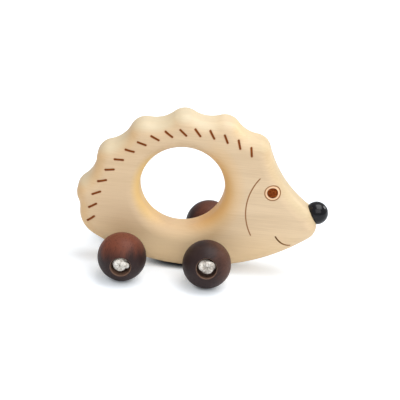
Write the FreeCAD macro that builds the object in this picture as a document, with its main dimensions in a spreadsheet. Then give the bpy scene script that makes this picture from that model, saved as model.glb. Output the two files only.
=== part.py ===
import FreeCAD, Part
import math
import os
import re

import Sketcher

# A hedgehog push toy: a rounded board with a grip hole, on four wooden balls that turn on two knotted cords.
# X runs from tail to nose, Y across to the toy's left side, Z up.
# The origin is on the floor, midway between the tail and the tip of the nose.
# Lengths are in millimetres and angles in degrees, from straight ahead towards straight up.

SIZES = {
    # the board
    "overall_length": 130.9,
    "board_thickness": 20,
    "edge_round": 7,  # round-over of every edge
    "edge_share": 0.48,  # the most of the thickness that one round-over takes
    # the outline, for a head this far ahead of the back's centre; it stretches with the overall length
    "head_reach": 64.12,
    # the back: six crests on a circle, with hollows between them
    "back_height": 25.5,  # centre of the back's circle
    "crest_reach": 60.2,  # from there to the crests' tips
    "brow_reach": 59.5,  # and to the tip of the first crest
    "crest_land": 1.8,  # radius that the round-over leaves at a crest
    "valley_round": 15.2,
    "brow_angle": 53.1,
    "crest_2_angle": 73.8,
    "crest_3_angle": 96.9,
    "crest_4_angle": 119.7,
    "crest_5_angle": 142.9,
    "tail_angle": 166.7,
    # rump, belly and head
    "tail_valley_round": 12,
    "rump_behind": 41.9,  # behind the back's centre
    "rump_height": 27.5,
    "rump_round": 14.7,
    "belly_round": 101,
    "chin_land": 1.2,
    "chin_below": 1.2,  # below the line of the nose
    "snout_land": 1,
    "snout_above": 2,  # above the line of the nose
    "forehead_round": 60.6,
    # the grip hole
    "grip_behind": 4.7,  # behind the back's centre
    "grip_height": 44.9,
    "grip_margin": 4.9,  # wood between the hole and the crests' tips, besides the two round-overs
    # the nose
    "nose_angle": 31.5,
    "nose_height": 34.05,  # centre of its seat
    "seat_depth": 0.6,
    "bead_diameter": 12,
    "bead_cut": 2.3,  # from the ball's flat to its centre
    "bead_edge": 0.3,
    "peg_diameter": 4,
    "peg_in_bead": 5,
    "peg_in_snout": 8,
    "peg_bevel": 0.5,
    "glue_film": 0.05,
    "glue_pocket": 0.5,  # room past each end of the peg
    # the wheels
    "wheel_diameter": 25,
    "wheel_gap": 3.5,
    "front_axle_ahead": 11.3,  # ahead of the back's centre
    "wheelbase": 43.5,
    "front_lean_angle": 12.4,  # outer ends up
    "rear_lean_angle": 4.5,  # outer ends down
    "pocket_diameter": 10.2,
    "pocket_depth": 6,
    "pocket_edge": 0.6,
    "bore_edge": 0.5,
    # the cords
    "cord_diameter": 3,
    "cord_clearance": 0.1,
    "cord_bend": 9,
    "knot_diameter": 8.8,
    "knot_length": 6.6,
    "knot_edge": 2.6,
    "knot_clearance": 0.3,  # from the pocket's floor
    # the burnt marks
    "burn_depth": 0.4,
    "overrun": 2,  # how far a cutter passes what it cuts
    "quill_ahead": 1.3,  # centre of the ring of quills, ahead of the back's centre
    "quill_height": 25.7,
    "quill_ring": 51.6,
    "quill_start_angle": 57.9,
    "quill_step_angle": 8.19,
    "quill_slant_angle": 40.3,  # from the ring's radius
    "quill_length": 5,
    "quill_width": 1,
    "eye_behind": 22.5,  # behind the nose's seat
    "eye_above": 14.1,
    "pupil_diameter": 5.6,
    "eye_ring_diameter": 8,
    "line_width": 0.5,
    "cheek_behind": 6,
    "cheek_above": 4.1,
    "cheek_round": 29.3,
    "cheek_start_angle": 143.8,
    "cheek_sweep_angle": 65.8,
    "mouth_behind": 10.3,
    "mouth_below": 4.9,
    "mouth_round": 9.7,
    "mouth_start_angle": 212,
    "mouth_sweep_angle": 56,
}
QUILLS = 16

doc = FreeCAD.newDocument("hedgehog")
sheet = doc.addObject("Spreadsheet::Sheet", "Sizes")
for row, (name, value) in enumerate(SIZES.items(), start=1):
    sheet.set(f"A{row}", name)
    sheet.set(f"B{row}", str(value))
    sheet.setAlias(f"B{row}", name)
doc.recompute()

# Places that several pieces share, as formulas in the sheet's names
edge = "min(edge_round; board_thickness * edge_share)"
crest_round = f"({edge} + crest_land)"
half_length = "(overall_length / 2)"
half_board = "(board_thickness / 2)"
bead_round = "(bead_diameter / 2)"
seat_x = f"({half_length} - {bead_round} - bead_cut * cos(nose_angle))"
stretch = (f"(({seat_x} + {half_length} - {crest_round} * (1 + cos(tail_angle)))"
           " / (head_reach - crest_reach * cos(tail_angle)))")


def stretched(length):
    """A length of the outline, stretched with the overall length."""
    return f"({length} * {stretch})"


back_x = f"({seat_x} - {stretched('head_reach')})"
nose_z = stretched("nose_height")
grip_x = f"({back_x} - {stretched('grip_behind')})"
grip_z = stretched("grip_height")
grip_round = f"({stretched('(back_height + crest_reach - grip_height - grip_margin)')} - 2 * {edge})"
wheel_round = "(wheel_diameter / 2)"
wheel_y = f"({half_board} + wheel_gap + {wheel_round})"
bend_y = f"({half_board} + wheel_gap / 2)"
front_x = f"({back_x} + {stretched('front_axle_ahead')})"
rear_x = f"({front_x} - {stretched('wheelbase')})"
cord_round = "(cord_diameter / 2)"
bore_round = f"({cord_round} + cord_clearance)"
pocket_round = "(pocket_diameter / 2)"
pocket_mouth = f"sqrt({wheel_round}^2 - {pocket_round}^2)"
pocket_floor = f"({pocket_mouth} - pocket_depth)"


def linked(formula):
    """The formula with each of the sheet's names led by the sheet's own name."""
    return re.sub(r"[a-z]\w*", lambda word: f"Sizes.{word[0]}" if word[0] in SIZES else word[0], formula)


def size(formula):
    """What a formula comes to, as a plain number."""
    return float(sheet.evalExpression(linked(formula)))


def bind(item, **formulas):
    """Ties properties of an item to formulas in the sheet's names."""
    for name, formula in formulas.items():
        item.setExpression(name, linked(formula))
    return item


def place(x="0", y="0", z="0", turn="rotationx(0)"):
    """A placement formula from three places and a turn."""
    return f"placement(vector({x}; {y}; {z}); {turn})"


def new_body(name):
    return doc.addObject("PartDesign::Body", name)


def datum(body, role):
    """One of a body's own origin planes or axes."""
    return next(item for item in body.Origin.OriginFeatures if item.Role == role)


def new_sketch(body, role, name):
    """An empty sketch on one of the body's own planes."""
    sketch = body.newObject("Sketcher::SketchObject", name)
    sketch.AttachmentSupport = [(datum(body, role), "")]
    sketch.MapMode = "FlatFace"
    return sketch


def tie(sketch, kind, formula, *points):
    """Adds a dimension to a sketch and ties it to a formula."""
    index = sketch.addConstraint(Sketcher.Constraint(kind, *points, size(formula)))
    sketch.setExpression(f"Constraints[{index}]", linked(formula))


def tie_point(sketch, x, y, *point):
    """Ties a point of a sketch to a place measured from the sketch's origin."""
    tie(sketch, "DistanceX", x, -1, 1, *point)
    tie(sketch, "DistanceY", y, -1, 1, *point)


def join(sketch, kind, *pairs):
    """Joins ends of sketch curves, with Coincident or Tangent."""
    for pair in pairs:
        sketch.addConstraint(Sketcher.Constraint(kind, *pair))


def arc(centre, radius, start, end):
    """The arc from start to end, anticlockwise."""
    turns = [math.atan2(point.y - centre.y, point.x - centre.x) for point in (start, end)]
    return Part.ArcOfCircle(Part.Circle(centre, FreeCAD.Vector(0, 0, 1), radius), *turns)


def meeting(start, end, start_reach, end_reach, side):
    """The point at two reaches from two centres, left (1) or right (-1) of the way between them."""
    way = end - start
    along = (way.Length ** 2 + start_reach ** 2 - end_reach ** 2) / (2 * way.Length)
    across = side * math.sqrt(start_reach ** 2 - along ** 2)
    way.normalize()
    return start + way * along + FreeCAD.Vector(-way.y, way.x, 0) * across


def toward(start, end, reach):
    """The point at a reach from start, on the line towards end."""
    way = end - start
    return start + way.normalize() * reach


def hedgehog_outline(sketch, inset):
    """Draws the outline from arcs that run smoothly into each other, all of it drawn in by the inset.

    The corners (snout, six crests, rump, chin) are arcs with set centres. Between them run arcs with a set
    radius, hollow ones and the bulging belly, and a straight line closes the outline at the snout's end.
    """

    def ahead(land):
        """Distance of a head corner's centre ahead of the nose's seat, along the nose's line."""
        return f"(seat_depth - {edge} - {land})"

    def head_corner(land, above):
        x = f"{seat_x} + {ahead(land)} * cos(nose_angle) - {above} * sin(nose_angle)"
        y = f"{nose_z} + {ahead(land)} * sin(nose_angle) + {above} * cos(nose_angle)"
        return x, y, f"({edge} + {land})"

    def crest(reach, angle):
        across = f"({stretched(reach)} - {crest_round})"
        x, y = f"{back_x} + {across} * cos({angle})", f"{stretched('back_height')} + {across} * sin({angle})"
        return x, y, crest_round

    corners = [head_corner("snout_land", "snout_above"), crest("brow_reach", "brow_angle")]
    corners += [crest("crest_reach", f"crest_{number}_angle") for number in (2, 3, 4, 5)]
    corners += [crest("crest_reach", "tail_angle")]
    corners += [(f"{back_x} - {stretched('rump_behind')}", stretched("rump_height"), stretched("rump_round"))]
    corners += [head_corner("chin_land", "-chin_below")]
    between = ["forehead_round"] + ["valley_round"] * 5 + ["tail_valley_round", "belly_round"]

    centres = [FreeCAD.Vector(size(x), size(y), 0) for x, y, _ in corners]
    rounds = [size(f"{radius} - {inset}") for _, _, radius in corners]
    starts = [None] * len(corners)
    ends = [None] * len(corners)
    links = []
    for number, radius in enumerate(between):
        here, there = centres[number], centres[number + 1]
        bulges = radius == "belly_round"
        swell = -1 if bulges else 1
        formula = f"{stretched(radius)} + {swell} * {inset}"
        reach = size(formula)
        reaches = [reach + swell * rounds[number + step] for step in (0, 1)]
        middle = meeting(here, there, *reaches, -swell)
        ends[number] = toward(here, middle, swell * rounds[number])
        starts[number + 1] = toward(there, middle, swell * rounds[number + 1])
        points = (ends[number], starts[number + 1]) if bulges else (starts[number + 1], ends[number])
        links.append((arc(middle, reach, *points), formula, bulges))
    nose_line = FreeCAD.Vector(size("cos(nose_angle)"), size("sin(nose_angle)"), 0)
    starts[0] = centres[0] + nose_line * rounds[0]
    ends[-1] = centres[-1] + nose_line * rounds[-1]

    drawn = []
    for (x, y, radius), centre, reach, start, end in zip(corners, centres, rounds, starts, ends):
        drawn.append(sketch.addGeometry(arc(centre, reach, start, end), False))
        tie_point(sketch, x, y, drawn[-1], 3)
        tie(sketch, "Radius", f"{radius} - {inset}", drawn[-1])
    for number, (curve, radius, bulges) in enumerate(links):
        link = sketch.addGeometry(curve, False)
        first, last = (1, 2) if bulges else (2, 1)
        join(sketch, "Tangent", (drawn[number], 2, link, first), (link, last, drawn[number + 1], 1))
        tie(sketch, "Radius", radius, link)
    line = sketch.addGeometry(Part.LineSegment(ends[-1], starts[0]), False)
    join(sketch, "Tangent", (drawn[-1], 2, line, 1), (line, 2, drawn[0], 1))


def rounded_board(name, inset):
    """The board with its grip hole and rounded edges, or the same drawn in all over by the inset."""
    body = new_body(name)
    sketch = new_sketch(body, "XZ_Plane", f"{name}_outline")
    hedgehog_outline(sketch, inset)
    hole = sketch.addGeometry(Part.Circle(FreeCAD.Vector(size(grip_x), size(grip_z), 0),
                                          FreeCAD.Vector(0, 0, 1), size(grip_round)), False)
    tie_point(sketch, grip_x, grip_z, hole, 3)
    tie(sketch, "Radius", f"{grip_round} + {inset}", hole)
    pad = body.newObject("PartDesign::Pad", f"{name}_thickness")
    pad.Profile = sketch
    pad.SideType = "Symmetric"
    bind(pad, Length=f"board_thickness - 2 * {inset}")
    doc.recompute()
    face_y = size(f"{half_board} - {inset}")
    rims = [f"Edge{number}" for number, rim in enumerate(pad.Shape.Edges, start=1)
            if math.isclose(abs(rim.CenterOfMass.y), face_y)]
    rounding = body.newObject("PartDesign::Fillet", f"{name}_rounding")
    rounding.Base = (pad, rims)
    bind(rounding, Radius=f"{edge} - {inset}")
    body.Tip = rounding
    doc.recompute()
    return body


def cutter(name, x, z, radius):
    """A round cutter along Y, through the whole board."""
    item = doc.addObject("Part::Cylinder", name)
    return bind(item, Radius=radius, Height="board_thickness + 2 * overrun",
                Placement=place(x, f"{half_board} + overrun", z, "rotationx(90)"))


def burnt_line(name, x, z, radius, start, sweep):
    """Cutters for a line burnt along an arc, from the angle start on through the sweep, with round ends."""
    bands = []
    for side in (1, -1):
        band = cutter(f"{name}_{'outer' if side > 0 else 'inner'}", x, z,
                      f"{radius} + {side} * line_width / 2")
        bands.append(bind(band, Angle=sweep, Placement=place(x, f"{half_board} + overrun", z,
                                                             f"rotationx(90) * rotationz({start})")))
    line = cut(f"{name}_line", *bands)
    tips = [cutter(f"{name}_{end}", f"{x} + {radius} * cos({angle})", f"{z} + {radius} * sin({angle})",
                   "line_width / 2")
            for end, angle in (("start", start), ("end", f"({start} + {sweep})"))]
    return [line] + tips


def cut(name, base, tool):
    item = doc.addObject("Part::Cut", name)
    item.Base = base
    item.Tool = tool
    return item


def fuse(name, items):
    item = doc.addObject("Part::MultiFuse", name)
    item.Shapes = items
    return item


def quills():
    """Cutters for the quills: one slot with round ends, repeated round the ring."""
    body = new_body("quills")
    sketch = new_sketch(body, "XZ_Plane", "quill_slot")
    half = "(quill_length - quill_width) / 2"
    centres = [(f"{stretched('quill_ring')} + {side} * {half} * cos(quill_slant_angle)",
                f"{side} * {half} * sin(quill_slant_angle)") for side in (-1, 1)]
    ends = [FreeCAD.Vector(size(x), size(y), 0) for x, y in centres]
    radius = size("quill_width / 2")
    along = (ends[1] - ends[0]).normalize()
    across = FreeCAD.Vector(-along.y, along.x, 0) * radius
    caps = [sketch.addGeometry(arc(ends[0], radius, ends[0] + across, ends[0] - across), False),
            sketch.addGeometry(arc(ends[1], radius, ends[1] - across, ends[1] + across), False)]
    sides = [sketch.addGeometry(Part.LineSegment(ends[0] - across, ends[1] - across), False),
             sketch.addGeometry(Part.LineSegment(ends[1] + across, ends[0] + across), False)]
    join(sketch, "Tangent", (caps[0], 2, sides[0], 1), (sides[0], 2, caps[1], 1),
         (caps[1], 2, sides[1], 1), (sides[1], 2, caps[0], 1))
    for (x, y), cap in zip(centres, caps):
        tie_point(sketch, x, y, cap, 3)
        tie(sketch, "Radius", "quill_width / 2", cap)
    slot = body.newObject("PartDesign::Pad", "quill")
    slot.Profile = sketch
    slot.SideType = "Symmetric"
    bind(slot, Length="board_thickness + 2 * overrun")
    doc.recompute()
    ring = body.newObject("PartDesign::PolarPattern", "quill_row")
    ring.Originals = [slot]
    ring.Axis = (datum(body, "Y_Axis"), [""])
    ring.Mode = "Spacing"
    ring.Reversed = True
    ring.Occurrences = QUILLS
    bind(ring, Offset="quill_step_angle")
    body.Tip = ring
    bind(body, Placement=place(f"{back_x} + {stretched('quill_ahead')}", "0", stretched("quill_height"),
                               "rotationy(-quill_start_angle)"))
    return body


def face_marks():
    """Cutters for the eye with its ring, the cheek and the mouth."""

    def from_seat(behind, above):
        return f"{seat_x} - {stretched(behind)}", f"({nose_z} + {stretched(above)})"

    eye = from_seat("eye_behind", "eye_above")
    ring = cut("eye_ring", cutter("eye_ring_outer", *eye, "(eye_ring_diameter + line_width) / 2"),
               cutter("eye_ring_inner", *eye, "(eye_ring_diameter - line_width) / 2"))
    cheek = burnt_line("cheek", *from_seat("cheek_behind", "cheek_above"), stretched("cheek_round"),
                       "cheek_start_angle", "cheek_sweep_angle")
    mouth = burnt_line("mouth", *from_seat("mouth_behind", "-mouth_below"), stretched("mouth_round"),
                       "mouth_start_angle", "mouth_sweep_angle")
    return [cutter("pupil", *eye, "pupil_diameter / 2"), ring] + cheek + mouth


def axle_z(lean):
    """Height of the level bore from which a cord climbs, by the signed lean, to the wheels' centres."""
    return f"({wheel_round} - ({wheel_y} - {bend_y}) * tan({lean}))"


def body_board():
    """The rounded board with the marks burnt in, two axle bores, and the nose's seat and peg hole."""
    board = rounded_board("board", "0")
    core = rounded_board("core", "burn_depth")
    burns = cut("burns", fuse("marks", [quills()] + face_marks()), core)
    bores = [cutter("front_bore", front_x, axle_z("front_lean_angle"), bore_round),
             cutter("rear_bore", rear_x, axle_z("-rear_lean_angle"), bore_round)]
    seat = bind(doc.addObject("Part::Box", "seat_cut"), Length="seat_depth + overrun",
                Width="board_thickness + 2 * overrun", Height="bead_diameter + 2 * overrun",
                Placement=place(seat_x, "0", nose_z, "rotationy(-nose_angle)") + " * "
                + place("0", f"-{half_board} - overrun", f"-{bead_round} - overrun"))
    peg_hole = bind(doc.addObject("Part::Cylinder", "peg_hole"), Radius="peg_diameter / 2 + glue_film",
                    Height="peg_in_snout + glue_pocket + overrun",
                    Placement=place(seat_x, "0", nose_z, "rotationy(90 - nose_angle)") + " * "
                    + place("0", "0", "-peg_in_snout - glue_pocket"))
    return cut("body", board, fuse("cutters", [burns, seat, peg_hole] + bores))


def turned(body, sketch, name):
    """Revolves a half profile about the sketch's upright axis."""
    item = body.newObject("PartDesign::Revolution", name)
    item.Profile = sketch
    item.ReferenceAxis = (sketch, ["V_Axis"])
    item.Angle = 360
    doc.recompute()
    return item


def ease(body, base, kind, radius, chosen):
    """Rounds or bevels the circular edges of a feature that the test chooses by radius and height."""
    rims = [f"Edge{number}" for number, rim in enumerate(base.Shape.Edges, start=1)
            if not rim.Degenerated and isinstance(rim.Curve, Part.Circle) and chosen(rim.Curve)]
    item = body.newObject(f"PartDesign::{kind}", f"{base.Name}_{kind.lower()}")
    item.Base = (base, rims)
    bind(item, **{"Radius" if kind == "Fillet" else "Size": radius})
    body.Tip = item
    doc.recompute()
    return item


def wheel(name, x, side, lean):
    """A ball, bored for its cord, with a pocket for the knot on its outer side."""
    body = new_body(name)
    sketch = new_sketch(body, "XZ_Plane", f"{name}_profile")
    ball, bore, pocket = size(wheel_round), size(bore_round), size(pocket_round)
    mouth, floor = size(pocket_mouth), size(pocket_floor)
    inner_end = -math.sqrt(ball ** 2 - bore ** 2)
    corners = [FreeCAD.Vector(bore, inner_end, 0), FreeCAD.Vector(pocket, mouth, 0),
               FreeCAD.Vector(pocket, floor, 0), FreeCAD.Vector(bore, floor, 0)]
    skin = sketch.addGeometry(arc(FreeCAD.Vector(), ball, corners[0], corners[1]), False)
    wall, step, hole = [sketch.addGeometry(Part.LineSegment(start, end), False)
                        for start, end in zip(corners[1:], corners[2:] + corners[:1])]
    join(sketch, "Coincident", (skin, 3, -1, 1), (skin, 2, wall, 1), (wall, 2, step, 1), (step, 2, hole, 1),
         (hole, 2, skin, 1))
    join(sketch, "Vertical", (wall,), (hole,))
    join(sketch, "Horizontal", (step,))
    tie(sketch, "Radius", wheel_round, skin)
    tie(sketch, "DistanceX", pocket_round, -1, 1, wall, 1)
    tie(sketch, "DistanceX", bore_round, -1, 1, hole, 1)
    tie(sketch, "DistanceY", "pocket_depth", wall, 2, wall, 1)
    ball = turned(body, sketch, f"{name}_ball")
    eased = ease(body, ball, "Fillet", "pocket_edge", lambda rim: rim.Center.z > floor and rim.Radius > bore)
    ease(body, eased, "Fillet", "bore_edge", lambda rim: rim.Center.z < 0)
    return bind(body, Placement=place(x, f"{side} * {wheel_y}", wheel_round,
                                      f"rotationx({-side} * (90 - {lean}))"))


def cord(name, x, lean, climbs):
    """A cord, level through the board and bent to its wheels' lean, with a knot in each end."""
    body = new_body(name)
    route = new_sketch(body, "YZ_Plane", f"{name}_route")
    level = f"({bend_y} - cord_bend * tan({lean} / 2))"
    knot_out = f"({pocket_floor} + knot_clearance + knot_length / 2)"
    to_wheel = f"(({wheel_y} - {bend_y}) / cos({lean}))"
    climb = f"({to_wheel} - cord_bend * tan({lean} / 2) + {knot_out})"
    middle = FreeCAD.Vector(size(level), size("cord_bend"), 0)
    start = FreeCAD.Vector(size(level), 0, 0)
    bent = middle + FreeCAD.Vector(size(f"sin({lean})"), -size(f"cos({lean})"), 0) * size("cord_bend")
    end = bent + FreeCAD.Vector(size(f"cos({lean})"), size(f"sin({lean})"), 0) * size(climb)
    straight = route.addGeometry(Part.LineSegment(FreeCAD.Vector(), start), False)
    bend = route.addGeometry(arc(middle, size("cord_bend"), start, bent), False)
    slope = route.addGeometry(Part.LineSegment(bent, end), False)
    join(route, "Coincident", (straight, 1, -1, 1))
    join(route, "Horizontal", (straight,))
    join(route, "Tangent", (straight, 2, bend, 1), (bend, 2, slope, 1))
    tie(route, "Distance", level, straight)
    tie(route, "Radius", "cord_bend", bend)
    tie(route, "Distance", climb, slope)
    tie(route, "Angle", lean, slope)
    section = new_sketch(body, "XZ_Plane", f"{name}_section")
    round_end = Part.Circle(FreeCAD.Vector(), FreeCAD.Vector(0, 0, 1), size(cord_round))
    ring = section.addGeometry(round_end, False)
    join(section, "Coincident", (ring, 3, -1, 1))
    tie(section, "Radius", cord_round, ring)
    half = body.newObject("PartDesign::AdditivePipe", f"{name}_half")
    half.Profile = section
    half.Spine = route
    doc.recompute()
    whole = body.newObject("PartDesign::Mirrored", f"{name}_whole")
    whole.Originals = [half]
    whole.MirrorPlane = (datum(body, "XZ_Plane"), [""])
    body.Tip = whole
    doc.recompute()
    knot_at = f"({to_wheel} + {knot_out} - knot_length / 2)"
    for side in (1, -1):
        knot = body.newObject("PartDesign::AdditiveCylinder", f"{name}_knot_{'left' if side > 0 else 'right'}")
        bind(knot, Radius="knot_diameter / 2", Height="knot_length",
             Placement=place("0", f"{side} * ({bend_y} + {knot_at} * cos({lean}))", f"{knot_at} * sin({lean})",
                             f"rotationx({-side} * (90 - {lean}))"))
        body.Tip = knot
        doc.recompute()
    ease(body, knot, "Fillet", "knot_edge", lambda rim: math.isclose(rim.Radius, size("knot_diameter / 2")))
    return bind(body, Placement=place(x, "0", axle_z(f"{climbs} * {lean}"), f"rotationy({90 - 90 * climbs})"))


def nose_bead():
    """A ball with a flat and a blind hole for the peg."""
    body = new_body("nose_bead")
    sketch = new_sketch(body, "XZ_Plane", "bead_profile")
    ball, rise = size(bead_round), size("bead_cut")
    hole, deep = size("peg_diameter / 2 + glue_film"), size("peg_in_bead + glue_pocket")
    rim = FreeCAD.Vector(math.sqrt(ball ** 2 - rise ** 2), 0, 0)
    corners = [FreeCAD.Vector(0, rise + ball, 0), FreeCAD.Vector(0, deep, 0), FreeCAD.Vector(hole, deep, 0),
               FreeCAD.Vector(hole, 0, 0), rim]
    skin = sketch.addGeometry(arc(FreeCAD.Vector(0, rise, 0), ball, rim, corners[0]), False)
    axis, bottom, wall, flat = [sketch.addGeometry(Part.LineSegment(start, end), False)
                                for start, end in zip(corners, corners[1:])]
    join(sketch, "Coincident", (skin, 2, axis, 1), (axis, 2, bottom, 1), (bottom, 2, wall, 1),
         (wall, 2, flat, 1), (flat, 2, skin, 1))
    join(sketch, "Vertical", (axis,), (wall,))
    join(sketch, "Horizontal", (bottom,), (flat,))
    join(sketch, "PointOnObject", (flat, 1, -1), (axis, 1, -2), (skin, 3, -2))
    tie(sketch, "Radius", bead_round, skin)
    tie(sketch, "DistanceY", "bead_cut", -1, 1, skin, 3)
    tie(sketch, "DistanceX", "peg_diameter / 2 + glue_film", -1, 1, wall, 1)
    tie(sketch, "DistanceY", "peg_in_bead + glue_pocket", wall, 2, wall, 1)
    bead = turned(body, sketch, "bead")
    ease(body, bead, "Fillet", "bead_edge", lambda rim: rim.Radius > hole and abs(rim.Center.z) < rise / 2)
    return bind(body, Placement=place(seat_x, "0", nose_z, "rotationy(90 - nose_angle)"))


def nose_peg():
    """The hidden dowel between snout and bead, with bevelled ends."""
    body = new_body("nose_peg")
    dowel = body.newObject("PartDesign::AdditiveCylinder", "dowel")
    bind(dowel, Radius="peg_diameter / 2", Height="peg_in_snout + peg_in_bead")
    body.Tip = dowel
    doc.recompute()
    ease(body, dowel, "Chamfer", "peg_bevel", lambda rim: True)
    return bind(body, Placement=place(seat_x, "0", nose_z, "rotationy(90 - nose_angle)") + " * "
                + place("0", "0", "-peg_in_snout"))


pieces = [body_board(), nose_bead(), nose_peg(),
          cord("front_cord", front_x, "front_lean_angle", 1), cord("rear_cord", rear_x, "rear_lean_angle", -1)]
for side_name, side in (("left", 1), ("right", -1)):
    pieces.append(wheel(f"wheel_front_{side_name}", front_x, side, "front_lean_angle"))
    pieces.append(wheel(f"wheel_rear_{side_name}", rear_x, side, "(-rear_lean_angle)"))
doc.recompute()

failed = [item.Name for item in doc.Objects if {"Invalid", "Error"} & set(item.State)]
failed += [piece.Label for piece in pieces if piece.Shape.isNull() or not piece.Shape.isValid()]
if failed:
    raise RuntimeError(f"failed: {', '.join(failed)}")
os.makedirs("parts", exist_ok=True)
for piece in pieces:
    piece.Shape.exportStep(f"parts/{piece.Label}.step")
    box = piece.Shape.optimalBoundingBox()
    print(f"{piece.Label}: {len(piece.Shape.Solids)} solid, {piece.Shape.Volume / 1000:.2f} cm3,"
          f" x {box.XMin:.2f} to {box.XMax:.2f}, y {box.YMin:.2f} to {box.YMax:.2f},"
          f" z {box.ZMin:.2f} to {box.ZMax:.2f}")
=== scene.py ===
import math

import bpy
import numpy as np
from mathutils import Matrix, Vector


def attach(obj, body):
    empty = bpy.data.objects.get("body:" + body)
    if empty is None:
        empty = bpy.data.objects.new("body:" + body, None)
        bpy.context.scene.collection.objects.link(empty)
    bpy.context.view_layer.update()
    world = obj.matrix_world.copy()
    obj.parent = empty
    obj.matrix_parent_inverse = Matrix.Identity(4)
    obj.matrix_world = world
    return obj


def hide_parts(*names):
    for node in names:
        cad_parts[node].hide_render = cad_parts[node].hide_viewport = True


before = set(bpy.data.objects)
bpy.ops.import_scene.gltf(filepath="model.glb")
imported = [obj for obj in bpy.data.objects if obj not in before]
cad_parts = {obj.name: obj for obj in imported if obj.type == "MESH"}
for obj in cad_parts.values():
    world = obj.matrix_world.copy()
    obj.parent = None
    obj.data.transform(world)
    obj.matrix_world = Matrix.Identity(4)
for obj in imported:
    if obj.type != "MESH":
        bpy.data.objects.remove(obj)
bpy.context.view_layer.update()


# The camera stands nine tenths of a metre from the toy, a little above it and tipped a few degrees to the
# side, so that the toy seems to roll downhill. It looks at the board's middle.
camera_aim = Vector((-0.00157, 0, 0.03658))
camera_distance = 0.9
camera_height_angle = math.radians(23.07)
camera_side_angle = math.radians(-0.61)
camera_roll = math.radians(5.42)
picture_width = 400  # pixels
camera_scale = 1925.3  # pixels to a metre at the aim
sensor_width = 36  # millimetres

level_share = math.cos(camera_height_angle)
back = Vector((math.sin(camera_side_angle) * level_share, -math.cos(camera_side_angle) * level_share,
               math.sin(camera_height_angle)))
level_right = Vector((math.cos(camera_side_angle), math.sin(camera_side_angle), 0))
level_up = back.cross(level_right)
right = level_right * math.cos(camera_roll) + level_up * math.sin(camera_roll)
up = level_up * math.cos(camera_roll) - level_right * math.sin(camera_roll)
camera_lens = bpy.data.cameras.new("camera")
camera_lens.sensor_width = sensor_width
camera_lens.lens = sensor_width * camera_scale * camera_distance / picture_width
camera_lens.clip_start = 0.05
camera = bpy.data.objects.new("camera", camera_lens)
camera_turn = Matrix((right, up, back)).transposed().to_4x4()
camera.matrix_world = Matrix.Translation(camera_aim + back * camera_distance) @ camera_turn
bpy.context.scene.collection.objects.link(camera)
bpy.context.scene.camera = camera
bpy.context.scene.view_settings.view_transform = "Standard"


# The lamps: a wide softbox overhead to the right, a weaker one high in front, and a small card behind on
# the right that only shows as the spark in the nose.
def soft_lamp(name, width, height, power, place, target):
    """A softbox: an area lamp of the given size, at a place, turned to shine on a target."""
    light = bpy.data.lights.new(name, "AREA")
    light.shape = "RECTANGLE"
    light.size = width
    light.size_y = height
    light.energy = power
    lamp = bpy.data.objects.new(name, light)
    place = Vector(place)
    turn = (Vector(target) - place).to_track_quat("-Z", "Y")
    lamp.matrix_world = Matrix.Translation(place) @ turn.to_matrix().to_4x4()
    bpy.context.scene.collection.objects.link(lamp)
    return lamp


soft_lamp("overhead_softbox", 1.0, 0.9, 10.0, (0.29, 0.06, 1.1), (0, 0, 0))
soft_lamp("front_softbox", 1.3, 1.0, 6.4, (0.30, -1.0, 1.0), (0, 0, 0.04))
side_card = soft_lamp("side_card", 0.3, 0.3, 2.2, (0.85, 0.56, 0.5), (0.03, 0, 0.03))
side_card.visible_diffuse = False


# Walls and floor: white walls all round, which the camera sees at full white, and seamless white paper. The
# camera sees the paper brighter than it lights the toy, the more so further out, but not where a piece
# almost touches it. Right under the belly the paper's colour is darkened towards black: a painted shadow.
def feed(tree, socket, value):
    """Gives a socket its value: a link from another node's output, or a plain number or colour."""
    if isinstance(value, bpy.types.NodeSocket):
        tree.links.new(value, socket)
    else:
        socket.default_value = value


def maths(tree, operation, *values):
    """One step of arithmetic on shader values."""
    step = tree.nodes.new("ShaderNodeMath")
    step.operation = operation
    for socket, value in zip(step.inputs, values):
        feed(tree, socket, value)
    return step.outputs["Value"]


def product(tree, first, *others):
    """Shader values multiplied with each other."""
    for other in others:
        first = maths(tree, "MULTIPLY", first, other)
    return first


def vector_maths(tree, operation, *values):
    """One step of arithmetic on shader vectors. A dot or a length gives a number, the others a vector."""
    step = tree.nodes.new("ShaderNodeVectorMath")
    step.operation = operation
    for socket, value in zip(step.inputs, values):
        feed(tree, socket, value)
    return step.outputs["Value" if operation in ("DOT_PRODUCT", "LENGTH") else "Vector"]


def fade(tree, value, low, high, at_low=0, at_high=1):
    """A smooth change from one number to another while a value runs from low to high."""
    ramp = tree.nodes.new("ShaderNodeMapRange")
    ramp.interpolation_type = "SMOOTHSTEP"
    feed(tree, ramp.inputs["Value"], value)
    feed(tree, ramp.inputs["From Min"], low)
    feed(tree, ramp.inputs["From Max"], high)
    feed(tree, ramp.inputs["To Min"], at_low)
    feed(tree, ramp.inputs["To Max"], at_high)
    return ramp.outputs["Result"]


def mix(tree, share, first, second):
    """Two colours mixed, with the given share of the second."""
    blend = tree.nodes.new("ShaderNodeMix")
    blend.data_type = "RGBA"
    feed(tree, blend.inputs["Factor"], share)
    feed(tree, blend.inputs["A"], first)
    feed(tree, blend.inputs["B"], second)
    return blend.outputs["Result"]


def places(tree, *scales):
    """The piece's own coordinates, in millimetres or with each axis at its own scale to a millimetre."""
    coordinates = tree.nodes.new("ShaderNodeTexCoord")
    factors = [1000 * scale for scale in scales or (1, 1, 1)]
    return vector_maths(tree, "MULTIPLY", coordinates.outputs["Object"], factors)


def new_material(name):
    """A material with only a Principled shader, and its node tree and shader."""
    material = bpy.data.materials.new(name)
    material.use_nodes = True
    return material, material.node_tree, material.node_tree.nodes["Principled BSDF"]


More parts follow.
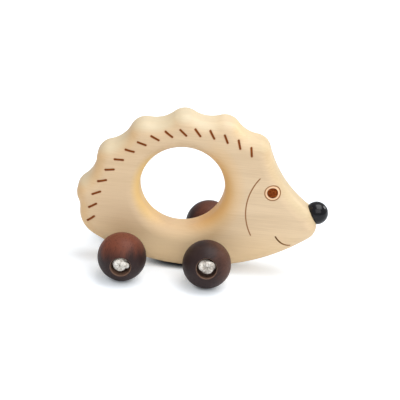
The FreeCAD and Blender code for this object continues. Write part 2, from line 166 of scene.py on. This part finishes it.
wall_light = 0.47
world = bpy.data.worlds.new("studio")
world.use_nodes = True
bpy.context.scene.world = world
tree = world.node_tree
walls = tree.nodes["Background"]
walls.inputs["Color"].default_value = (1, 1, 1, 1)
rays = tree.nodes.new("ShaderNodeLightPath")
feed(tree, walls.inputs["Strength"],
     maths(tree, "MULTIPLY_ADD", rays.outputs["Is Camera Ray"], 1 - wall_light, wall_light))

paper_half = 4  # metres
paper_white = (0.84, 0.87, 0.91, 1)
painted_shadow_black = (0, 0, 0, 1)
contact_reach = 0.005  # metres
corners = [(paper_half * x, paper_half * y, 0) for x, y in ((-1, -1), (1, -1), (1, 1), (-1, 1))]
floor_mesh = bpy.data.meshes.new("floor")
floor_mesh.from_pydata(corners, [], [(0, 1, 2, 3)])
floor = bpy.data.objects.new("floor", floor_mesh)
bpy.context.scene.collection.objects.link(floor)
paper, tree, shader = new_material("white_paper")
contact = tree.nodes.new("ShaderNodeAmbientOcclusion")
contact.inputs["Distance"].default_value = contact_reach
openness = contact.outputs["AO"]
beside_middle = maths(tree, "ABSOLUTE", vector_maths(tree, "DOT_PRODUCT", places(tree), (0, 1, 0)))
# A painted shadow: the paper's colour goes towards black under the belly, where the board almost touches it.
painted_belly_shadow = product(tree, fade(tree, openness, 0.7, 0.1, 0, 0.95), fade(tree, beside_middle, 18, 12))
feed(tree, shader.inputs["Base Color"], mix(tree, painted_belly_shadow, paper_white, painted_shadow_black))
shader.inputs["Roughness"].default_value = 0.9
shader.inputs["Specular IOR Level"].default_value = 0
from_toy = vector_maths(tree, "LENGTH", places(tree))
lift = product(tree, fade(tree, from_toy, 300, 1500, 0.33, 0.7), fade(tree, openness, 0, 0.35),
               maths(tree, "SUBTRACT", 1, painted_belly_shadow))
rays = tree.nodes.new("ShaderNodeLightPath")
shader.inputs["Emission Color"].default_value = (0.9, 0.96, 1, 1)
feed(tree, shader.inputs["Emission Strength"], product(tree, rays.outputs["Is Camera Ray"], lift))
floor_mesh.materials.append(paper)


# Body: one board of pale maple with the grain along the toy, sawn, rounded, sanded and oiled. The oil turns
# the end grain at the rounded edges more orange. Light and shade are also painted into the wood's colour.
# The quills, eye, cheek and mouth are burnt in.
def noise(tree, coordinates, scale=1, detail=2, roughness=0.5):
    """Soft noise between 0 and 1 over coordinates."""
    texture = tree.nodes.new("ShaderNodeTexNoise")
    feed(tree, texture.inputs["Vector"], coordinates)
    texture.inputs["Scale"].default_value = scale
    texture.inputs["Detail"].default_value = detail
    texture.inputs["Roughness"].default_value = roughness
    return texture.outputs["Fac"]


def bump(tree, shader, height, distance, strength):
    """Gives a shader a fine relief: the height value, as high as the distance in metres."""
    relief = tree.nodes.new("ShaderNodeBump")
    relief.inputs["Strength"].default_value = strength
    relief.inputs["Distance"].default_value = distance
    feed(tree, relief.inputs["Height"], height)
    tree.links.new(relief.outputs["Normal"], shader.inputs["Normal"])


def dress(node_name, material):
    """Gives a CAD node's mesh its material."""
    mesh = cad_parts[node_name].data
    mesh.materials.clear()
    mesh.materials.append(material)


def long_side(tree, first, second):
    """The long side of a right-angled triangle, from its two short ones."""
    squares = maths(tree, "ADD", product(tree, first, first), product(tree, second, second))
    return maths(tree, "SQRT", squares)


def polar(centre_x, centre_z):
    """The shaded point's distance and angle from a centre on the face, in millimetres and radians."""
    x = maths(tree, "SUBTRACT", along, centre_x)
    z = maths(tree, "SUBTRACT", height, centre_z)
    return long_side(tree, x, z), maths(tree, "ARCTAN2", z, x)


maple, tree, shader = new_material("maple")
position = tree.nodes.new("ShaderNodeSeparateXYZ")
tree.links.new(places(tree), position.inputs["Vector"])
along, height = position.outputs["X"], position.outputs["Z"]
quill_centre = (-5.33, 25.7)
hole_centre = (-11.33, 44.9)
eye_centre = (34.99, 48.15)
quill_reach, quill_angle = polar(*quill_centre)
hole_reach, _ = polar(*hole_centre)
eye_reach, _ = polar(*eye_centre)

# The grain: fine lines, broader bands and a few darker streaks, all drawn out along the board.
fine_grain = noise(tree, places(tree, 0.05, 0.6, 1.7), detail=4, roughness=0.6)
broad_grain = noise(tree, places(tree, 0.012, 0.08, 0.13), detail=2)
streaks = noise(tree, places(tree, 0.02, 0.5, 0.9), detail=1)
figure = maths(tree, "MULTIPLY_ADD", fine_grain, 0.5, product(tree, broad_grain, 0.5))
wood = mix(tree, fade(tree, figure, 0.35, 0.65), (0.735, 0.54, 0.335, 1), (0.84, 0.64, 0.415, 1))
wood = mix(tree, fade(tree, streaks, 0.6, 0.75, 0, 0.25), wood, (0.62, 0.42, 0.25, 1))

# The wood's tints: browner towards the tail, and paler and yellower low down, a painted light. The oil turns
# the rounded end grain orange, though less at the snout and past the quills. Where the end grain faces the
# tail, away from the lamps, it is painted darker and redder, a painted shade; where it faces the nose it is
# painted paler, a painted light. Beside the hole on its nose side the wood is painted a deeper orange, a
# painted shade. Where the crests' tops face up the wood is greyer, a painted sheen, and where the forehead
# faces up it is darker and browner, a painted shade.
wood = mix(tree, fade(tree, along, 30, -60, 0, 0.35), wood, (0.74, 0.50, 0.28, 1))
# Painted light: the wood is paler and yellower low down.
wood = mix(tree, fade(tree, height, 34, 6, 0, 0.5), wood, (0.94, 0.67, 0.35, 1))
normals = tree.nodes.new("ShaderNodeTexCoord").outputs["Normal"]
to_tail = vector_maths(tree, "DOT_PRODUCT", normals, (-1, 0, 0))
to_sky = vector_maths(tree, "DOT_PRODUCT", normals, (0, 0, 1))
end_share = product(tree, fade(tree, along, 18, 40, 1, 0.3), fade(tree, quill_reach, 46, 54, 1, 0.45))
# Painted shade and light on the end grain: darker and redder facing the tail, paler facing the nose.
tail_ends_in_painted_shade = product(tree, fade(tree, to_tail, 0.05, 0.75, 0, 0.85), end_share)
nose_ends_in_painted_light = product(tree, fade(tree, to_tail, -0.2, -0.9, 0, 0.8), end_share)
# Painted shade: a deeper orange beside the hole on its nose side, away from the lamps.
hole_side_shade = product(tree, fade(tree, hole_reach, 34, 27, 0, 0.45), fade(tree, along, -5, 12))
# A painted sheen on the upward-facing crest tops, and painted shade on the forehead's upward-facing edge.
crest_top_sheen = product(tree, fade(tree, to_sky, 0.2, 0.8, 0, 0.55), fade(tree, along, 30, -15),
                     fade(tree, hole_reach, 29, 35))
forehead_shade = product(tree, fade(tree, to_sky, 0.1, 0.6, 0, 0.45), fade(tree, along, 15, 30))
for share, tint in ((tail_ends_in_painted_shade, (0.80, 0.45, 0.145, 1)), (nose_ends_in_painted_light, (1.0, 0.68, 0.25, 1)),
                    (hole_side_shade, (0.80, 0.49, 0.20, 1)), (crest_top_sheen, (0.68, 0.63, 0.46, 1)),
                    (forehead_shade, (0.62, 0.52, 0.32, 1))):
    wood = mix(tree, share, wood, tint)

# The quills: sixteen short strokes on a ring, a fixed angle apart and each slanted to it. A stroke's burn
# follows from the distance to the middle line of the nearest one, and a pale brown halo surrounds it.
quill_ring = 51.6
quill_start = math.radians(57.9)
quill_step = math.radians(8.19)
quill_slant = math.radians(40.3)
quill_count = 16
quill_half = 2.1
below = maths(tree, "LESS_THAN", quill_angle, 0)
turn = maths(tree, "ADD", quill_angle, product(tree, below, 2 * math.pi))
from_start = maths(tree, "SUBTRACT", turn, quill_start)
number = maths(tree, "ROUND", maths(tree, "DIVIDE", from_start, quill_step))
number = maths(tree, "MAXIMUM", maths(tree, "MINIMUM", number, quill_count - 1), 0)
offset = maths(tree, "SUBTRACT", from_start, product(tree, number, quill_step))
outward = maths(tree, "SUBTRACT", product(tree, quill_reach, maths(tree, "COSINE", offset)), quill_ring)
sideways = product(tree, quill_reach, maths(tree, "SINE", offset))
lengthwise = maths(tree, "MULTIPLY_ADD", outward, math.cos(quill_slant),
                   product(tree, sideways, math.sin(quill_slant)))
crosswise = maths(tree, "MULTIPLY_ADD", sideways, math.cos(quill_slant),
                  product(tree, outward, -math.sin(quill_slant)))
past_end = maths(tree, "SUBTRACT", maths(tree, "ABSOLUTE", lengthwise), quill_half)
from_quill = long_side(tree, maths(tree, "MAXIMUM", past_end, 0), crosswise)
quill_burn = fade(tree, from_quill, 0.72, 0.44)
halo = fade(tree, from_quill, 1.4, 0.5, 0, 0.35)

# The eye: a burnt pupil, a ring left pale round it and a thin burnt line round the ring.
pupil_round = 2.8
eye_line_round = 4.0
pupil_burn = fade(tree, eye_reach, pupil_round + 0.15, pupil_round - 0.15)
from_line = maths(tree, "ABSOLUTE", maths(tree, "SUBTRACT", eye_reach, eye_line_round))
eye_line = fade(tree, from_line, 0.38, 0.16)
eye_pale = product(tree, fade(tree, eye_reach, pupil_round - 0.1, pupil_round + 0.2),
                   fade(tree, eye_reach, eye_line_round + 0.1, eye_line_round - 0.2))


# The cheek and the mouth: two thin arcs drawn with the burning pen.
def line_burn(centre_x, centre_z, radius, start, sweep, width):
    """Share of burn along an arc: a line at its radius, over its sweep in degrees, with soft edges."""
    reach, angle = polar(centre_x, centre_z)
    middle = math.radians(start + sweep / 2)
    turned = maths(tree, "WRAP", maths(tree, "SUBTRACT", angle, middle), math.pi, -math.pi)
    past_end = maths(tree, "SUBTRACT", maths(tree, "ABSOLUTE", turned), math.radians(sweep / 2))
    past_end = maths(tree, "MAXIMUM", product(tree, past_end, radius), 0)
    from_line = long_side(tree, past_end, maths(tree, "SUBTRACT", reach, radius))
    return fade(tree, from_line, 0.5 * width + 0.14, 0.5 * width - 0.12)


cheek = line_burn(51.49, 38.15, 29.3, 143.8, 65.8, 0.6)
mouth = line_burn(47.19, 29.15, 9.7, 212, 56, 0.8)

# The marks' colours, blotchy because wood chars unevenly, laid over the wood one after another. A burnt
# place is duller than the oiled wood.
scorch = noise(tree, places(tree), scale=0.9, detail=3, roughness=0.7)
quill_char = mix(tree, scorch, (0.20, 0.045, 0.010, 1), (0.36, 0.105, 0.026, 1))
pupil_char = mix(tree, fade(tree, scorch, 0.4, 0.6), (0.14, 0.022, 0.003, 1), (0.30, 0.07, 0.010, 1))
mouth_char = mix(tree, fade(tree, along, 40, 46), (0.20, 0.08, 0.028, 1), (0.45, 0.22, 0.08, 1))
thin_lines = maths(tree, "MAXIMUM", eye_line, cheek)
colour = wood
for share, tint in ((halo, (0.70, 0.37, 0.18, 1)), (eye_pale, (0.97, 0.64, 0.38, 1)),
                    (quill_burn, quill_char), (pupil_burn, pupil_char),
                    (thin_lines, (0.42, 0.18, 0.06, 1)), (mouth, mouth_char)):
    colour = mix(tree, share, colour, tint)
tree.links.new(colour, shader.inputs["Base Color"])
feed(tree, shader.inputs["Roughness"], fade(tree, fine_grain, 0.3, 0.7, 0.42, 0.54))
burnt = maths(tree, "MAXIMUM", maths(tree, "MAXIMUM", quill_burn, pupil_burn), mouth)
feed(tree, shader.inputs["Specular IOR Level"], maths(tree, "MULTIPLY_ADD", burnt, -0.3, 0.35))
bump(tree, shader, fine_grain, 0.00003, 0.5)
dress("body", maple)


# Nose: a ball of wood, turned with one flat and dipped in black lacquer. The flat is glued to the seat cut
# on the snout, over a short dowel.
lacquer, tree, shader = new_material("black_lacquer")
orange_peel = noise(tree, places(tree), scale=0.8, detail=2)
shader.inputs["Base Color"].default_value = (0.004, 0.004, 0.006, 1)
feed(tree, shader.inputs["Roughness"], fade(tree, orange_peel, 0.35, 0.65, 0.16, 0.22))
shader.inputs["Specular IOR Level"].default_value = 0.33
bump(tree, shader, orange_peel, 0.00004, 0.4)
dress("nose_bead", lacquer)


# Nose peg: a short piece of bare birch dowel, glued into the snout and into the nose. It is hidden once
# they are together.
dowel, tree, shader = new_material("dowel")
fibres = noise(tree, places(tree, 0.15, 2.5, 2.5), detail=3)
feed(tree, shader.inputs["Base Color"], mix(tree, fibres, (0.52, 0.37, 0.22, 1), (0.70, 0.53, 0.35, 1)))
shader.inputs["Roughness"].default_value = 0.65
bump(tree, shader, fibres, 0.00005, 0.5)
dress("nose_peg", dowel)


# Wheels: turned balls of oiled walnut, bored for the cord, with a pocket for the knot on the outer side.
# Each ball is cut from another piece of wood, so grain and redness differ. Each is painted lighter and
# redder on the side towards the lamps and darker away from them: painted light and shade. The pocket is
# paler, the more so towards its mouth, and its rim is a painted highlight.
wheel_height = 12.5
wheel_side = 26
front_axle, front_lean = 4.67, 12.4
rear_axle, rear_lean = -38.83, -4.5
pocket_round = 5.1
grain_stretch = 0.93  # share of the pattern's change along the grain that is taken out


def walnut(name, centre, axis, grain_way, lit_way, redness):
    """Oiled walnut for one wheel: pores along the grain, painted light on one side and paler in its pocket,
    with a painted highlight on its rim.
    """
    material, tree, shader = new_material(name)
    local = vector_maths(tree, "SUBTRACT", places(tree), centre)
    way = Vector(grain_way).normalized()
    along_grain = vector_maths(tree, "DOT_PRODUCT", local, way)
    drawn_out = vector_maths(tree, "MULTIPLY", along_grain, tuple(grain_stretch * way))
    squeezed = vector_maths(tree, "SUBTRACT", local, drawn_out)
    pores = noise(tree, squeezed, scale=2.2, detail=4, roughness=0.65)
    bands = noise(tree, squeezed, scale=0.3, detail=2)
    # Painted light and shade: lighter and redder on the side towards the lamps, darker away from them.
    lit_side = vector_maths(tree, "DOT_PRODUCT", local, tuple(Vector(lit_way).normalized()))
    lit_side = maths(tree, "MULTIPLY_ADD", bands, 8, lit_side)
    lit_red_wood = (0.085 + 0.095 * redness, 0.038 + 0.012 * redness, 0.026, 1)
    wood = mix(tree, fade(tree, lit_side, 4, 14), (0.032, 0.017, 0.016, 1), lit_red_wood)
    wood = mix(tree, fade(tree, pores, 0.52, 0.68, 0, 0.65), wood, (0.020, 0.012, 0.010, 1))
    out = vector_maths(tree, "DOT_PRODUCT", local, axis)
    square = vector_maths(tree, "DOT_PRODUCT", local, local)
    across = maths(tree, "SQRT", maths(tree, "SUBTRACT", square, product(tree, out, out)))
    pocket = product(tree, fade(tree, across, pocket_round + 0.25, pocket_round + 0.05),
                     fade(tree, out, 3, 9, 0, 0.85))
    wood = mix(tree, pocket, wood, (0.28, 0.165, 0.115, 1))
    # Painted highlight: a paler ring where the pocket's rounded rim catches the light.
    rim_highlight = product(tree, fade(tree, across, pocket_round - 0.1, pocket_round + 0.1),
                  fade(tree, across, pocket_round + 0.5, pocket_round + 0.2),
                  fade(tree, out, 9, 10, 0, 0.6))
    wood = mix(tree, rim_highlight, wood, (0.24, 0.145, 0.10, 1))
    tree.links.new(wood, shader.inputs["Base Color"])
    feed(tree, shader.inputs["Roughness"], fade(tree, pores, 0.3, 0.7, 0.40, 0.55))
    shader.inputs["Specular IOR Level"].default_value = 0.22
    bump(tree, shader, pores, 0.00005, 0.5)
    return material


for node_name, axle_x, side, lean, grain_way, lit_way, redness in (
        ("wheel_front_left", front_axle, 1, front_lean, (0.3, 0.2, 1), (0.5, -0.5, 0.6), 0.5),
        ("wheel_front_right", front_axle, -1, front_lean, (0.7, 0.4, 0.5), (0.9, 0.2, 0.25), 0.1),
        ("wheel_rear_left", rear_axle, 1, rear_lean, (1, 0.3, 0.2), (0.3, -0.4, 0.8), 0.5),
        ("wheel_rear_right", rear_axle, -1, rear_lean, (0.1, 0.5, 1), (-0.2, 0.1, 1), 1)):
    lean = math.radians(lean)
    axis = (0, side * math.cos(lean), math.sin(lean))
    centre = (axle_x, side * wheel_side, wheel_height)
    dress(node_name, walnut(node_name + "_walnut", centre, axis, grain_way, lit_way, redness))


# Cords: two lengths of braided white cotton cord. Each runs level through the board, bends to its wheels'
# lean and ends in a tight overhand knot in each wheel's pocket. The knots alone hold the wheels on.
cord_round = 1.5
knot_round = 1.38
knot_ring = 2.4
knot_swing = 0.75
knot_depth = 1.75
knot_place = 9.0  # from the wheel's centre
knot_start, knot_end = 97, 402  # degrees of the way through the knot
knot_skew = 0.25
knot_flatness = 0.76
knot_rise = 0.75
board_stops = (2, 6, 9.5)  # from the board's middle
bend_side = 11.75
bore_stops = (2.5, 5.5, 8.5, 11.5, 14.5)  # from the bend
strands = 6  # each way round
braid_twist = 4  # radians to a millimetre
braid_height = 0.035  # share of the cord's radius


def overhand_knot(turn):
    """Points of the knot, from the bore outwards, about its own centre with the axle as the third axis.

    The way round is 2p and the swing in and out and up and down is 3p, so the cord goes twice round and
    locks with itself three times: with r = ring + swing cos 3p, a point is at r cos 2p, r sin 2p and
    depth sin 3p. The tied loops are then skewed a little and pressed flat into the upper side of the pocket.
    """
    phase = np.radians(np.linspace(knot_start, knot_end, 40))
    reach = knot_ring + knot_swing * np.cos(3 * phase)
    deep = knot_depth * np.sin(3 * phase)
    loops = np.stack([reach * np.cos(2 * phase), reach * np.sin(2 * phase), deep], 1)
    entry = np.array([(0, 0, -6.2), (0, 0, -4.6), (-0.75, 0.95, -3.1)])
    turned = np.radians(turn)
    spin = np.array([[np.cos(turned), -np.sin(turned), 0], [np.sin(turned), np.cos(turned), 0], [0, 0, 1]])
    knot = np.concatenate([entry, loops]) @ spin.T
    tied = knot[len(entry):]
    tied[:, 2] += knot_skew * tied[:, 1]
    tied[:, 1] = knot_flatness * tied[:, 1] + knot_rise
    return knot


def smooth_path(points, per_span):
    """A curve through the points: between two of them a cubic whose slopes come from their neighbours."""
    points = np.concatenate([2 * points[:1] - points[1:2], points, 2 * points[-1:] - points[-2:-1]])
    share = (np.arange(per_span) / per_span)[None, :, None]
    before, start, end, after = (points[first:len(points) - 3 + first, None, :] for first in range(4))
    curve = 0.5 * (2 * start + (end - before) * share
                   + (2 * before - 5 * start + 4 * end - after) * share ** 2
                   + (3 * start - before - 3 * end + after) * share ** 3)
    return np.concatenate([curve.reshape(-1, 3), points[-2:-1]])


def cord_path(axle_x, lean, right_turn, left_turn):
    """The cord's middle line, from its right-hand knot to its left-hand one, and its radii on the way.

    The cord is thinner outside the bores, where it is pulled tight in the knots.
    """
    lean = math.radians(lean)
    bore_height = wheel_height - (wheel_side - bend_side) * math.tan(lean)
    ahead = np.array([1.0, 0, 0])
    halves = []
    for side, turn in ((-1, right_turn), (1, left_turn)):
        out = np.array([0, side * math.cos(lean), math.sin(lean)])
        rise = np.array([0, -side * math.sin(lean), math.cos(lean)])
        centre = np.array([axle_x, side * wheel_side, wheel_height])
        bend = np.array([axle_x, side * bend_side, bore_height])
        level = [np.array([axle_x, side * reach, bore_height]) for reach in board_stops]
        slope = [bend + out * reach for reach in bore_stops]
        knot = [centre + out * (knot_place + deep) + ahead * across + rise * tall
                for across, tall, deep in overhand_knot(turn)]
        halves.append(np.array(level + slope + knot))
    path = smooth_path(np.concatenate([halves[0][::-1], halves[1]]), per_span=10)
    out_of_wheel = np.abs(path[:, 1]) - (wheel_side + 0.5 * knot_place)
    return path, cord_round + (knot_round - cord_round) * np.clip(out_of_wheel, 0, 1)


def cord_piece(name, path, rounds, sides=32):
    """A braided tube along a path of points in millimetres, with a rounded end at both ends.

    At arc length s and angle a the tube stands off by its radius times 1 + height cos(na + ts) cos(na - ts),
    with n strands each way and t the braid's twist. The frame across the path is carried along it without
    twist. The flat map holds s and the share of the way round.
    """
    ways = np.gradient(path, axis=0)
    ways /= np.linalg.norm(ways, axis=1)[:, None]
    normals = [np.cross(ways[0], (0.6, 0.0, 0.8))]
    for way in ways:
        carried = normals[-1] - way * (normals[-1] @ way)
        normals.append(carried / np.linalg.norm(carried))
    normals = np.array(normals[1:])
    crosses = np.cross(ways, normals)
    lengths = np.concatenate([[0], np.cumsum(np.linalg.norm(np.diff(path, axis=0), axis=1))])

    cap = np.radians(np.linspace(15, 75, 5))
    first = path[0] - ways[0] * rounds[0] * np.cos(cap)[:, None]
    last = path[-1] + ways[-1] * rounds[-1] * np.cos(cap[::-1])[:, None]
    spots = np.concatenate([first, path, last])
    radii = np.concatenate([rounds[0] * np.sin(cap), rounds, rounds[-1] * np.sin(cap[::-1])])
    index = np.clip(np.arange(len(spots)) - len(cap), 0, len(path) - 1)
    angles = np.linspace(0, 2 * np.pi, sides, endpoint=False)
    around, travel = strands * angles, braid_twist * lengths[index, None]
    braid = 1 + braid_height * np.cos(around + travel) * np.cos(around - travel)
    spread = (np.cos(angles)[:, None] * normals[index, None, :]
              + np.sin(angles)[:, None] * crosses[index, None, :])
    skin = (spots[:, None, :] + spread * (radii[:, None] * braid)[:, :, None]).reshape(-1, 3)
    poles = np.array([path[0] - ways[0] * rounds[0], path[-1] + ways[-1] * rounds[-1]])
    points = np.concatenate([skin, poles]) / 1000

    ring, spoke = np.meshgrid(np.arange(len(spots) - 1), np.arange(sides), indexing="ij")
    ring, spoke = ring.ravel(), spoke.ravel()
    after = (spoke + 1) % sides
    quads = np.stack([ring * sides + spoke, ring * sides + after, (ring + 1) * sides + after,
                      (ring + 1) * sides + spoke], 1)
    start, following = np.arange(sides), (np.arange(sides) + 1) % sides
    final = (len(spots) - 1) * sides
    fans = np.concatenate([
        np.stack([np.full(sides, len(skin)), following, start], 1),
        np.stack([np.full(sides, len(skin) + 1), final + start, final + following], 1)])
    mesh = bpy.data.meshes.new(name)
    mesh.from_pydata(points.tolist(), [], quads.tolist() + fans.tolist())
    reached = lengths[index]
    here, further = reached[ring], reached[ring + 1]
    low, high = spoke / sides, (spoke + 1) / sides
    corners = np.stack([here, low, here, high, further, high, further, low], 1).reshape(-1, 2)
    ends = np.stack([np.repeat([reached[0], reached[-1]], 3 * sides), np.zeros(6 * sides)], 1)
    flat_map = mesh.uv_layers.new(name="along_and_around")
    flat_map.data.foreach_set("uv", np.concatenate([corners, ends]).ravel())
    mesh.shade_smooth()
    piece = bpy.data.objects.new(name, mesh)
    bpy.context.scene.collection.objects.link(piece)
    return piece


def braided_cotton(name, dark, pale):
    """White cotton, greyed by hands and with dark flecks, its braid laid along the cord's own map."""
    material, tree, shader = new_material(name)
    flat = tree.nodes.new("ShaderNodeUVMap")
    flat.uv_map = "along_and_around"
    pair = tree.nodes.new("ShaderNodeSeparateXYZ")
    tree.links.new(flat.outputs["UV"], pair.inputs["Vector"])
    travel = product(tree, pair.outputs["X"], braid_twist)
    around = product(tree, pair.outputs["Y"], strands * 2 * math.pi)
    weave = product(tree, maths(tree, "COSINE", maths(tree, "ADD", around, travel)),
                    maths(tree, "COSINE", maths(tree, "SUBTRACT", around, travel)))
    fluff = noise(tree, places(tree), scale=0.65, detail=3, roughness=0.6)
    flecks = noise(tree, places(tree), scale=1.05, detail=1)
    handled = noise(tree, places(tree), scale=0.45, detail=2)
    tuft = maths(tree, "MULTIPLY_ADD", weave, 0.05, fluff)
    thread = mix(tree, fade(tree, tuft, 0.34, 0.58), dark, pale)
    thread = mix(tree, fade(tree, handled, 0.45, 0.62, 0, 0.25), thread, (0.50, 0.43, 0.36, 1))
    thread = mix(tree, fade(tree, flecks, 0.64, 0.72, 0, 0.7), thread, (0.20, 0.14, 0.10, 1))
    tree.links.new(thread, shader.inputs["Base Color"])
    shader.inputs["Roughness"].default_value = 0.85
    shader.inputs["Sheen Weight"].default_value = 0.3
    bump(tree, shader, maths(tree, "ADD", fluff, weave), 0.00015, 0.6)
    return material


for cord_name, axle_x, lean, right_turn, left_turn, dark, pale in (
        ("front_cord", front_axle, front_lean, 20, 200, (0.42, 0.37, 0.32, 1), (0.82, 0.78, 0.71, 1)),
        ("rear_cord", rear_axle, rear_lean, 100, 320, (0.48, 0.44, 0.38, 1), (0.95, 0.92, 0.85, 1))):
    path, rounds = cord_path(axle_x, lean, right_turn, left_turn)
    piece = cord_piece(cord_name + "_and_knots", path, rounds)
    piece.data.materials.append(braided_cotton(cord_name + "_cotton", dark, pale))
    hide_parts(cord_name)
    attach(piece, "frame")
